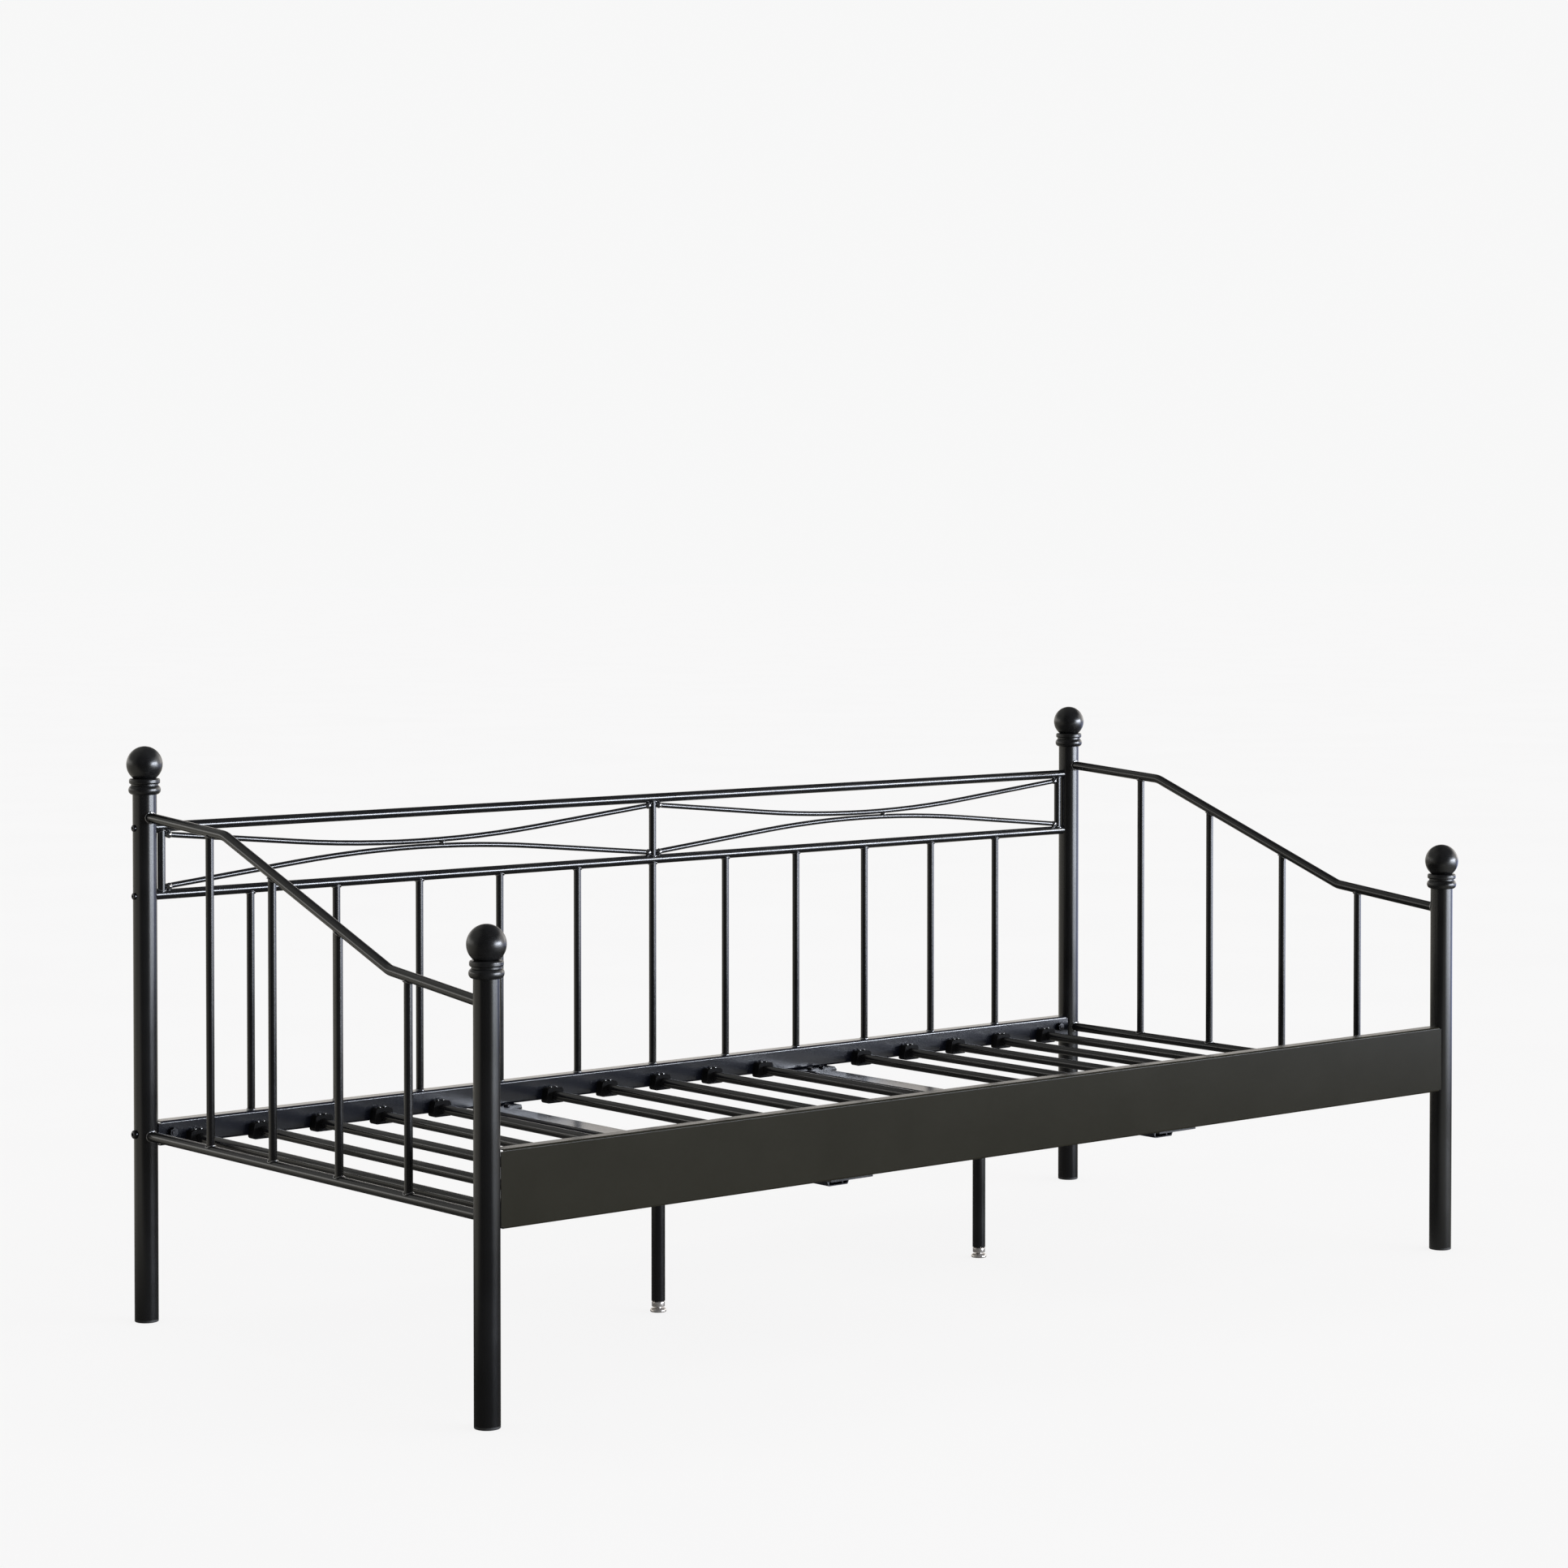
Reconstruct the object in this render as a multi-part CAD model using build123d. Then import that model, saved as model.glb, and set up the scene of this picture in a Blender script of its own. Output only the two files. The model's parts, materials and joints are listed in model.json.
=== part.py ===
from build123d import *
from math import atan, sin
import os

# Metal daybed frame, in millimetres. +X runs along the length to the right, +Y to the back, +Z up.
# The origin is on the floor, below the middle of the frame.

# ---- overall layout ----
post_spacing_x = 2040.0
post_spacing_y = 928.0
post_x = post_spacing_x / 2
post_y = post_spacing_y / 2
sides = (-1, 1)
weld_gap = 0.1

# ---- posts, their foot caps and finials ----
post_radius = 19.0
post_wall = 1.5
rear_post_top = 837.7
front_post_top = 631.0
foot_cap_height = 4.0
foot_cap_edge = 1.5
plug_clearance = 0.1
plug_radius = post_radius - post_wall - plug_clearance
foot_plug_height = 18.0
finial_plug_height = 22.0
bead_radius = 25.3
bead_height = 15.0
bead_round = 6.9
groove_radius = 21.5
groove_height = 2.0
ring_radius = 24.3
ring_height = 8.5
ring_round = 2.55
ball_radius = 28.5
ball_height = 51.0

# ---- rails, spindles and rods of the back and the arms ----
rail_radius = 8.0
rail_wall = 1.5
spindle_radius = 6.35
spindle_wall = 1.0
rod_radius = 4.5
back_top_z = 785.0
back_second_z = 677.3
back_spindle_pitch = 165.0
back_spindle_count = 11
band_end_x = 990.0
rod_end_inset = 3.0
rod_half_gap = rod_radius + 0.2
rod_straight_share = 0.25
arm_bottom_z = 296.5
arm_rear_z = 803.0
arm_upper_bend = (224.0, 787.0)
arm_lower_bend = (-224.5, 621.0)
arm_front_z = 595.2
arm_bend_radius = 45.0
arm_spindle_ys = (-271.0, -90.5, 90.5, 269.0)

# ---- side rails and the front panel ----
rail_bottom_z = 279.0
deck_rail_top_z = 317.8
deck_rail_sheet = 2.0
deck_rail_depth = 24.5
deck_rail_inset = 14.2
post_gap = 0.5
deck_face_y = post_y - deck_rail_inset
deck_back_y = deck_face_y + deck_rail_sheet
deck_outer_y = deck_face_y + deck_rail_depth
web_end_x = post_x - 15.0
flange_end_x = post_x - post_radius - post_gap
inner_bend = 1.5
panel_sheet = 1.5
panel_face_y = -(deck_outer_y + inner_bend + panel_sheet)
panel_top_z = 391.0
panel_top_flange = 22.0
panel_bottom_flange = 24.0

# ---- slats and their holders ----
slat_radius = 8.0
slat_wall = 1.2
slat_pitch = 117.3
slats_per_bay = 5
crossbar_step = slats_per_bay // 2 + 1
last_slat_step = crossbar_step + slats_per_bay
slat_z = rail_bottom_z + slat_radius
holder_width = 31.0
holder_foot_width = 40.0
holder_drop = 5.0
holder_top_z = 300.0
holder_depth = 16.0
holder_floor = 4.0
holder_corner = 5.0
socket_clearance = 0.1
lug_radius = 2.7
lug_height = 2.8
lug_root = 1.0
lug_spacing = 10.5

# ---- crossbars with their end plates ----
crossbar_x = crossbar_step * slat_pitch
crossbar_top_width = 50.0
crossbar_bottom_width = 38.0
crossbar_depth = 13.0
crossbar_wall = 1.5
crossbar_corner = 2.25
crossbar_end_y = 442.0
end_plate_sheet = 3.0
end_plate_width = 84.0
end_plate_inner_y = 405.0
end_plate_square_y = 430.0
end_plate_outer_y = 474.0
crossbar_top_z = rail_bottom_z - end_plate_sheet
crossbar_bottom_z = crossbar_top_z - crossbar_depth

# ---- centre support legs with levelling feet ----
leg_radius = 11.0
leg_wall = 1.5
leg_bottom_z = 18.0
leg_plate_sheet = 3.0
leg_plate_length = 66.0
leg_plate_width = crossbar_bottom_width
leg_plate_z = crossbar_bottom_z - leg_plate_sheet
insert_height = 20.0
stud_radius = 4.0
stud_clearance = 0.05
stud_length = 30.0
foot_disc_radius = 13.0
foot_disc_height = 7.6
foot_disc_edge = 1.2
foot_dome_round = 5.0
foot_groove_radius = 8.0
foot_collar_radius = 10.5
foot_collar_bottom = 8.4
foot_collar_top = 16.8
foot_collar_edge = 0.7


# ---- brackets and fasteners ----
bracket_sheet = 3.0
bracket_bottom_z = 284.5
bracket_top_z = 314.0
bracket_reach = 43.0
bracket_margin = 1.0
bolt_z = 299.5
rail_bolt_x = post_x - 39.0
m8_radius = 4.0
m8_hole_radius = 4.3
m8_flat_radius = 7.5
m8_head_height = 5.3
m8_nut_height = 8.0
m8_tip = 1.5
dome_radius = 7.0
dome_height = 5.5
dome_share = 0.7
m8_socket_radius = 2.9
m8_socket_depth = 3.0
m6_radius = 3.0
m6_hole_radius = 3.3
m6_flat_radius = 5.75
m6_head_radius = 5.5
m6_head_height = 3.5
m6_socket_radius = 2.3
m6_socket_depth = 2.2
m6_nut_height = 5.0
m6_length = 14.0
crossbar_bolt_offset = 14.0
crossbar_bolt_y = 433.5
leg_bolt_y = 24.0
insert_length = 16.0
insert_clearance = 0.1
insert_setback = 1.0


def round_bar(start, direction, radius, length):
    """Solid bar that begins at start and runs along direction."""
    return extrude(Plane(origin=start, z_dir=direction) * Circle(radius), amount=length)


def straight_tube(start, end, radius, wall):
    """Hollow tube between two points."""
    run = Vector(*end) - Vector(*start)
    section = Plane(origin=start, z_dir=run) * (Circle(radius) - Circle(radius - wall))
    return extrude(section, amount=run.length)


def block(xs, ys, zs):
    """Box between two values on each axis, given in either order."""
    low = Vector(min(xs), min(ys), min(zs))
    high = Vector(max(xs), max(ys), max(zs))
    size = high - low
    return Pos(*((low + high) * 0.5)) * Box(size.X, size.Y, size.Z)


def hexagon(start, direction, radius, length):
    """Six-sided bar for bolt heads and nuts."""
    return extrude(Plane(origin=start, z_dir=direction) * RegularPolygon(radius, 6), amount=length)


def domed(start, direction, radius, height):
    """Round head with a softly domed top."""
    head = round_bar(start, direction, radius, height)
    top = head.edges().filter_by(GeomType.CIRCLE).sort_by(Axis(start, direction))[-1]
    return fillet(top, dome_share * min(radius, height))


def m8_head(start, direction):
    """Domed head of a large bolt, with its hexagon socket."""
    socket = Vector(*start) + Vector(*direction) * (dome_height - m8_socket_depth)
    return domed(start, direction, dome_radius, dome_height) - hexagon(
        socket, direction, m8_socket_radius, dome_height
    )


def m6_head(start, direction):
    """Domed head of a small bolt, with its hexagon socket."""
    socket = Vector(*start) + Vector(*direction) * (m6_head_height - m6_socket_depth)
    return domed(start, direction, m6_head_radius, m6_head_height) - hexagon(
        socket, direction, m6_socket_radius, m6_head_height
    )


def save(name, *shapes):
    """Write one node, either a single solid or a group of separate solids."""
    pieces = [solid for shape in shapes for solid in shape.solids()]
    export_step(pieces[0] if len(pieces) == 1 else Compound(pieces), f"parts/{name}.step")


def side_name(sign):
    return "left" if sign < 0 else "right"


def row_name(sign):
    return "front" if sign < 0 else "rear"


# ---- posts ----
def post_outline(x_side, y_side):
    """Solid cylinder of a post's outside, a little oversize, that shapes what is welded to it."""
    centre = (x_side * post_x, y_side * post_y, 0)
    return round_bar(centre, (0, 0, 1), post_radius + weld_gap, rear_post_top)


def post_top(y_side):
    return rear_post_top if y_side > 0 else front_post_top


def post(x_side, y_side):
    """Upright tube; the rear ones are drilled for the bolts that hold the back and the rear rail."""
    x = x_side * post_x
    y = y_side * post_y
    tube = straight_tube((x, y, foot_cap_height), (x, y, post_top(y_side)), post_radius, post_wall)
    if y_side > 0:
        holes = (
            (bolt_z, m8_hole_radius),
            (back_second_z, m6_hole_radius),
            (back_top_z, m6_hole_radius),
        )
        for z, radius in holes:
            tube -= round_bar((x - post_radius, y, z), (1, 0, 0), radius, 2 * post_radius)
    return tube


def foot_cap(x_side, y_side):
    """Plug in the bottom of a post, with a rim as wide as the tube."""
    base = (x_side * post_x, y_side * post_y, 0)
    rim = round_bar(base, (0, 0, 1), post_radius, foot_cap_height)
    rim = fillet(rim.edges().sort_by(Axis.Z)[0], foot_cap_edge)
    return rim + round_bar(base, (0, 0, 1), plug_radius, foot_cap_height + foot_plug_height)


def finial(x_side, y_side):
    """Ball finial: plug, bead, groove, ring and a ball flattened where it meets the ring."""
    base = Pos(x_side * post_x, y_side * post_y, post_top(y_side))
    plug = Pos(0, 0, -finial_plug_height / 2) * Cylinder(plug_radius, finial_plug_height)
    bead = Pos(0, 0, bead_height / 2) * Cylinder(bead_radius, bead_height)
    bead = fillet(bead.edges().filter_by(GeomType.CIRCLE), bead_round)
    ring_z = bead_height + groove_height
    ring = Pos(0, 0, ring_z + ring_height / 2) * Cylinder(ring_radius, ring_height)
    ring = fillet(ring.edges().filter_by(GeomType.CIRCLE), ring_round)
    core = Pos(0, 0, (ring_z + ring_height) / 2) * Cylinder(groove_radius, ring_z)
    ball_z = ring_z + ring_height + ball_height - ball_radius
    ball = Pos(0, 0, ball_z) * Sphere(ball_radius)
    ball = split(ball, Plane.XY.offset(ring_z), keep=Keep.TOP)
    return base * (plug + bead + core + ring + ball)


# ---- back panel ----
def back_rail(z):
    """Rail between the rear posts, shaped to fit round them at both ends."""
    tube = straight_tube((-post_x, post_y, z), (post_x, post_y, z), rail_radius, rail_wall)
    return tube - post_outline(-1, 1) - post_outline(1, 1)


def rail_outline(z):
    """Solid bar of a back rail's outside, a little oversize."""
    return round_bar((-post_x, post_y, z), (1, 0, 0), rail_radius + weld_gap, post_spacing_x)


def band_upright(x):
    """Short upright between the two back rails."""
    tube = straight_tube((x, post_y, back_second_z), (x, post_y, back_top_z), spindle_radius, spindle_wall)
    return tube - rail_outline(back_top_z) - rail_outline(back_second_z)


def scroll_rod(x_side, z_side):
    """Thin rod from one corner of a band cell to the next, with straight ends and a long bow between them."""
    middle_z = (back_top_z + back_second_z) / 2
    corner_rise = (back_top_z - back_second_z) / 2 - rail_radius - rod_radius - weld_gap
    inner_x = spindle_radius + rod_end_inset
    outer_x = band_end_x - spindle_radius - rod_end_inset
    length = outer_x - inner_x
    slope = (corner_rise - rod_half_gap) / (length * (0.25 + rod_straight_share / 2))
    bow_radius = (0.5 - rod_straight_share) * length / sin(atan(slope))
    corner_z = middle_z + z_side * corner_rise
    path = FilletPolyline(
        (x_side * inner_x, post_y, corner_z),
        (x_side * (inner_x + outer_x) / 2, post_y, corner_z - z_side * slope * length / 2),
        (x_side * outer_x, post_y, corner_z),
        radius=bow_radius,
    )
    return sweep(Plane(origin=path @ 0, z_dir=path % 0) * Circle(rod_radius), path=path)


def back_spindle(x):
    """Spindle from the second rail down to the top of the rear deck rail."""
    foot = deck_rail_top_z + weld_gap
    tube = straight_tube((x, post_y, foot), (x, post_y, back_second_z), spindle_radius, spindle_wall)
    return tube - rail_outline(back_second_z)


# ---- arms ----
def arm_path(x):
    """Centre line of an arm's top rail, from rear post to front post."""
    return FilletPolyline(
        (x, post_y, arm_rear_z),
        (x, *arm_upper_bend),
        (x, *arm_lower_bend),
        (x, -post_y, arm_front_z),
        radius=arm_bend_radius,
    )


def arm_sweep(x, section):
    path = arm_path(x)
    return sweep(Plane(origin=path @ 0, z_dir=path % 0) * section, path=path)


def arm_top_rail(x_side):
    """Bent rail that steps down from the rear post to the front post."""
    tube = arm_sweep(x_side * post_x, Circle(rail_radius) - Circle(rail_radius - rail_wall))
    return tube - post_outline(x_side, -1) - post_outline(x_side, 1)


def arm_bottom_rail(x_side):
    x = x_side * post_x
    tube = straight_tube((x, -post_y, arm_bottom_z), (x, post_y, arm_bottom_z), rail_radius, rail_wall)
    return tube - post_outline(x_side, -1) - post_outline(x_side, 1)


def arm_height(y):
    """Height of the top rail's straight runs above y."""
    corners = ((post_y, arm_rear_z), arm_upper_bend, arm_lower_bend, (-post_y, arm_front_z))
    for (back_y, back_z), (near_y, near_z) in zip(corners, corners[1:]):
        if y >= near_y:
            return near_z + (back_z - near_z) * (y - near_y) / (back_y - near_y)


def arm_spindles(x_side):
    """Four spindles between an arm's rails."""
    x = x_side * post_x
    top = arm_sweep(x, Circle(rail_radius + weld_gap))
    bottom = round_bar((x, -post_y, arm_bottom_z), (0, 1, 0), rail_radius + weld_gap, post_spacing_y)
    spindles = []
    for y in arm_spindle_ys:
        tube = straight_tube((x, y, arm_bottom_z), (x, y, arm_height(y)), spindle_radius, spindle_wall)
        spindles.append(tube - top - bottom)
    return spindles


# ---- deck rails and front panel ----
def channel(plane, top_depth, bottom_depth, top_z, sheet):
    """Folded sheet along X: a web, two flanges turned the same way, and the web's tongue past their ends."""
    bottom_z = plane.origin.Z
    height = top_z - bottom_z
    outline = Polygon(
        (0, 0),
        (bottom_depth, 0),
        (bottom_depth, sheet),
        (sheet, sheet),
        (sheet, height - sheet),
        (top_depth, height - sheet),
        (top_depth, height),
        (0, height),
        align=None,
    )
    outer_bend = inner_bend + sheet
    outline = fillet(outline.vertices().group_by(Axis.X)[0], outer_bend)
    outline = fillet(outline.vertices().group_by(Axis.X)[1], inner_bend)
    body = extrude(plane * outline, amount=flange_end_x, both=True)
    face_y = plane.origin.Y
    web_ys = (face_y, face_y + plane.x_dir.Y * sheet)
    return body + block((-web_end_x, web_end_x), web_ys, (bottom_z + outer_bend, top_z - outer_bend))


def section_plane(face_y, turn, bottom_z):
    """Plane across the frame's length whose X runs from a web's face towards its flanges' edges."""
    return Plane(origin=(0, face_y, bottom_z), x_dir=(0, turn, 0), z_dir=(turn, 0, 0))


def deck_rail(y_side, bottom_z):
    """Channel with its web towards the slats and its flanges turned outwards."""
    plane = section_plane(y_side * deck_face_y, y_side, bottom_z)
    rail = channel(plane, deck_rail_depth, deck_rail_depth, deck_rail_top_z, deck_rail_sheet)
    for x in (-rail_bolt_x, rail_bolt_x):
        rail -= round_bar((x, 0, bolt_z), (0, y_side, 0), m8_hole_radius, post_spacing_y)
    return rail


def front_panel():
    """Wide folded sheet that covers the front deck rail."""
    plane = section_plane(panel_face_y, 1, rail_bottom_z)
    return channel(plane, panel_top_flange, panel_bottom_flange, panel_top_z, panel_sheet)


def rail_bracket(x_side, y_side):
    """Angle inside the end of a deck rail: one leg lies on the post, the other behind the web."""
    post_face = x_side * (post_x - post_radius)
    heights = (bracket_bottom_z, bracket_top_z)
    post_leg_xs = (post_face, post_face - x_side * bracket_sheet)
    post_leg = block(post_leg_xs, (y_side * deck_back_y, y_side * (deck_outer_y - bracket_margin)), heights)
    web_leg_xs = (post_face, post_face - x_side * bracket_reach)
    web_leg = block(web_leg_xs, (y_side * deck_back_y, y_side * (deck_back_y + bracket_sheet)), heights)
    bracket = post_leg + web_leg
    bracket -= round_bar((x_side * rail_bolt_x, 0, bolt_z), (0, y_side, 0), m8_hole_radius, post_spacing_y)
    if y_side > 0:
        bracket -= round_bar((0, post_y, bolt_z), (x_side, 0, 0), m8_hole_radius, post_x)
    return bracket


# ---- slats ----
def holder(x, y_side):
    """Moulded socket on a deck rail's web that carries one end of a slat."""
    face = Plane(origin=(x, y_side * deck_face_y, 0), x_dir=(y_side, 0, 0), z_dir=(0, -y_side, 0))
    bottom_z = rail_bottom_z - holder_drop
    outline = Polygon(
        (-holder_foot_width / 2, bottom_z),
        (holder_foot_width / 2, bottom_z),
        (holder_width / 2, holder_top_z),
        (-holder_width / 2, holder_top_z),
        align=None,
    )
    outline = fillet(outline.vertices(), holder_corner)
    body = extrude(face * outline, amount=holder_depth)
    for lug_x in (-lug_spacing / 2, lug_spacing / 2):
        lug_base = (x + lug_x, y_side * (deck_face_y - holder_depth / 2), holder_top_z - lug_root)
        body += domed(lug_base, (0, 0, 1), lug_radius, lug_height + lug_root)
    socket_floor = (x, y_side * (deck_face_y - holder_floor), slat_z)
    return body - round_bar(socket_floor, (0, -y_side, 0), slat_radius + socket_clearance, holder_depth)


def slat(x):
    """Round tube from the front socket to the rear socket."""
    end_y = deck_face_y - holder_floor - weld_gap
    return straight_tube((x, -end_y, slat_z), (x, end_y, slat_z), slat_radius, slat_wall)


def slat_positions():
    """Slat centres: every pitch from the middle, except where a crossbar runs."""
    steps = range(-last_slat_step, last_slat_step + 1)
    return [step * slat_pitch for step in steps if abs(step) != crossbar_step]


# ---- crossbars ----
def crossbar_section(inset):
    """Tapered outline of a crossbar, drawn inset from its outside."""
    half_top = crossbar_top_width / 2 - inset
    half_bottom = crossbar_bottom_width / 2 - inset
    return Polygon(
        (-half_bottom, crossbar_bottom_z + inset),
        (half_bottom, crossbar_bottom_z + inset),
        (half_top, crossbar_top_z - inset),
        (-half_top, crossbar_top_z - inset),
        align=None,
    )


def crossbar(x):
    """Shallow tapered tube under the slats, drilled for its end bolts and its leg's bolts."""
    plane = Plane(origin=(x, crossbar_end_y, 0), x_dir=(1, 0, 0), z_dir=(0, -1, 0))
    outer = crossbar_section(0)
    outer = fillet(outer.vertices(), crossbar_corner)
    bar = extrude(plane * (outer - crossbar_section(crossbar_wall)), amount=2 * crossbar_end_y)
    for bolt_x in (x - crossbar_bolt_offset, x + crossbar_bolt_offset):
        for y in (-crossbar_bolt_y, crossbar_bolt_y):
            bar -= round_bar((bolt_x, y, crossbar_top_z), (0, 0, -1), m6_hole_radius, 2 * crossbar_wall)
    for y in (-leg_bolt_y, leg_bolt_y):
        bar -= round_bar((x, y, crossbar_bottom_z), (0, 0, 1), m6_hole_radius, 2 * crossbar_wall)
    return bar


def crossbar_plate(x, y_side):
    """Plate under a deck rail that narrows to the crossbar's width and is bolted onto its end."""
    half_bar = crossbar_top_width / 2
    half_plate = end_plate_width / 2
    outline = Polygon(
        (x - half_plate, y_side * end_plate_outer_y),
        (x + half_plate, y_side * end_plate_outer_y),
        (x + half_plate, y_side * end_plate_square_y),
        (x + half_bar, y_side * end_plate_inner_y),
        (x - half_bar, y_side * end_plate_inner_y),
        (x - half_plate, y_side * end_plate_square_y),
        align=None,
    )
    plate = extrude(Plane.XY.offset(crossbar_top_z) * outline, amount=end_plate_sheet, dir=(0, 0, 1))
    for bolt_x in (x - crossbar_bolt_offset, x + crossbar_bolt_offset):
        plate -= round_bar((bolt_x, y_side * crossbar_bolt_y, 0), (0, 0, 1), m6_hole_radius, panel_top_z)
    return plate


# ---- centre legs ----
def leg_plate(x):
    """Flat plate at the top of a leg, bolted up against the crossbar."""
    plate = block(
        (x - leg_plate_width / 2, x + leg_plate_width / 2),
        (-leg_plate_length / 2, leg_plate_length / 2),
        (leg_plate_z, crossbar_bottom_z),
    )
    for y in (-leg_bolt_y, leg_bolt_y):
        plate -= round_bar((x, y, 0), (0, 0, 1), m6_hole_radius, panel_top_z)
    return plate


def leg_insert(x):
    """Threaded plug in the bottom of a leg."""
    plug = round_bar((x, 0, leg_bottom_z), (0, 0, 1), leg_radius - leg_wall, insert_height)
    return plug - round_bar((x, 0, 0), (0, 0, 1), stud_radius + stud_clearance, panel_top_z)


def levelling_foot(x):
    """Turned foot: domed disc, groove, grip collar and the stud that screws into the leg."""
    upwards = (0, 0, 1)
    disc = round_bar((x, 0, 0), upwards, foot_disc_radius, foot_disc_height)
    disc = fillet(disc.edges().sort_by(Axis.Z)[0], foot_disc_edge)
    disc = fillet(disc.edges().sort_by(Axis.Z)[-1], foot_dome_round)
    collar_height = foot_collar_top - foot_collar_bottom
    collar = round_bar((x, 0, foot_collar_bottom), upwards, foot_collar_radius, collar_height)
    collar = fillet(collar.edges().filter_by(GeomType.CIRCLE), foot_collar_edge)
    core = round_bar((x, 0, 0), upwards, foot_groove_radius, foot_collar_top)
    return disc + core + collar + round_bar((x, 0, 0), upwards, stud_radius, foot_collar_top + stud_length)


# ---- fasteners ----
def rail_bolt(x_side, y_side):
    """Hexagon bolt through a bracket and a deck rail's web, with its head inside the channel."""
    x = x_side * rail_bolt_x
    head_y = deck_back_y + bracket_sheet
    inwards = (0, -y_side, 0)
    length = bracket_sheet + deck_rail_sheet + m8_nut_height + m8_tip
    shank = round_bar((x, y_side * head_y, bolt_z), inwards, m8_radius, length)
    head_top = (x, y_side * (head_y + m8_head_height), bolt_z)
    return shank + hexagon(head_top, inwards, m8_flat_radius, m8_head_height)


def rail_nut(start, direction):
    nut = hexagon(start, direction, m8_flat_radius, m8_nut_height)
    return nut - round_bar(start, direction, m8_radius + weld_gap, m8_nut_height)


def deck_bolt(x_side):
    """Domed bolt across a rear post that holds the rear rail's bracket."""
    outer = x_side * (post_x + post_radius)
    inwards = (-x_side, 0, 0)
    length = 2 * post_radius + bracket_sheet + m8_nut_height + m8_tip
    shank = round_bar((outer, post_y, bolt_z), inwards, m8_radius, length)
    return shank + m8_head((outer, post_y, bolt_z), (x_side, 0, 0))


def back_rail_bolt(x_side, z):
    """Domed bolt across a rear post into the end of a back rail."""
    outer = x_side * (post_x + post_radius)
    shank = round_bar((outer, post_y, z), (-x_side, 0, 0), m6_radius, 2 * post_radius + insert_length)
    return shank + m6_head((outer, post_y, z), (x_side, 0, 0))


def back_rail_insert(x_side, z):
    """Threaded plug in the end of a back rail."""
    start = (x_side * (post_x - post_radius - insert_setback), post_y, z)
    inwards = (-x_side, 0, 0)
    plug = round_bar(start, inwards, rail_radius - rail_wall - insert_clearance, insert_length)
    return plug - round_bar(start, inwards, m6_radius + weld_gap, insert_length)


def m6_bolt(base, direction):
    """Small button-headed bolt whose head seats on base, with the shank running along direction."""
    away = tuple(-part for part in direction)
    return round_bar(base, direction, m6_radius, m6_length) + m6_head(base, away)


def m6_nut(base, direction):
    nut = hexagon(base, direction, m6_flat_radius, m6_nut_height)
    return nut - round_bar(base, direction, m6_radius + weld_gap, m6_nut_height)


def crossbar_fasteners():
    """Bolts and nuts that hold the end plates onto the crossbars and the legs under them."""
    bolts = []
    nuts = []
    for x in (-crossbar_x, crossbar_x):
        for y in (-crossbar_bolt_y, crossbar_bolt_y):
            for bolt_x in (x - crossbar_bolt_offset, x + crossbar_bolt_offset):
                bolts.append(m6_bolt((bolt_x, y, rail_bottom_z), (0, 0, -1)))
                nuts.append(m6_nut((bolt_x, y, crossbar_top_z - crossbar_wall), (0, 0, -1)))
        for y in (-leg_bolt_y, leg_bolt_y):
            bolts.append(m6_bolt((x, y, leg_plate_z), (0, 0, 1)))
            nuts.append(m6_nut((x, y, crossbar_bottom_z + crossbar_wall), (0, 0, 1)))
    return bolts, nuts


def rail_nuts():
    """Nuts on the web of each deck rail's end and inside the rear brackets."""
    nuts = []
    for x_side in sides:
        for y_side in sides:
            web = (x_side * rail_bolt_x, y_side * deck_face_y, bolt_z)
            nuts.append(rail_nut(web, (0, -y_side, 0)))
        bracket = (x_side * (post_x - post_radius - bracket_sheet), post_y, bolt_z)
        nuts.append(rail_nut(bracket, (-x_side, 0, 0)))
    return nuts


os.makedirs("parts", exist_ok=True)

for x_side in sides:
    for y_side in sides:
        corner = f"{row_name(y_side)}_{side_name(x_side)}"
        save(f"post_{corner}", post(x_side, y_side))
        save(f"finial_{corner}", finial(x_side, y_side))
save("foot_caps", *[foot_cap(x_side, y_side) for x_side in sides for y_side in sides])

save("back_top_rail", back_rail(back_top_z))
save("back_second_rail", back_rail(back_second_z))
save("band_uprights", *[band_upright(x) for x in (-band_end_x, 0, band_end_x)])
for x_side in sides:
    save(f"scroll_rod_upper_{side_name(x_side)}", scroll_rod(x_side, 1))
    save(f"scroll_rod_lower_{side_name(x_side)}", scroll_rod(x_side, -1))
first_spindle = -(back_spindle_count - 1) / 2 * back_spindle_pitch
spindle_xs = [first_spindle + i * back_spindle_pitch for i in range(back_spindle_count)]
save("back_spindles", *[back_spindle(x) for x in spindle_xs])

for x_side in sides:
    save(f"arm_top_rail_{side_name(x_side)}", arm_top_rail(x_side))
    save(f"arm_bottom_rail_{side_name(x_side)}", arm_bottom_rail(x_side))
    save(f"arm_spindles_{side_name(x_side)}", *arm_spindles(x_side))

save("front_panel", front_panel())
save("front_slat_rail", deck_rail(-1, rail_bottom_z + panel_sheet))
save("rear_slat_rail", deck_rail(1, rail_bottom_z))
save("rail_brackets", *[rail_bracket(x_side, y_side) for x_side in sides for y_side in sides])

for number, x in enumerate(slat_positions(), start=1):
    save(f"slat_{number:02d}", slat(x))
save("slat_holders_front", *[holder(x, -1) for x in slat_positions()])
save("slat_holders_rear", *[holder(x, 1) for x in slat_positions()])

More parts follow.
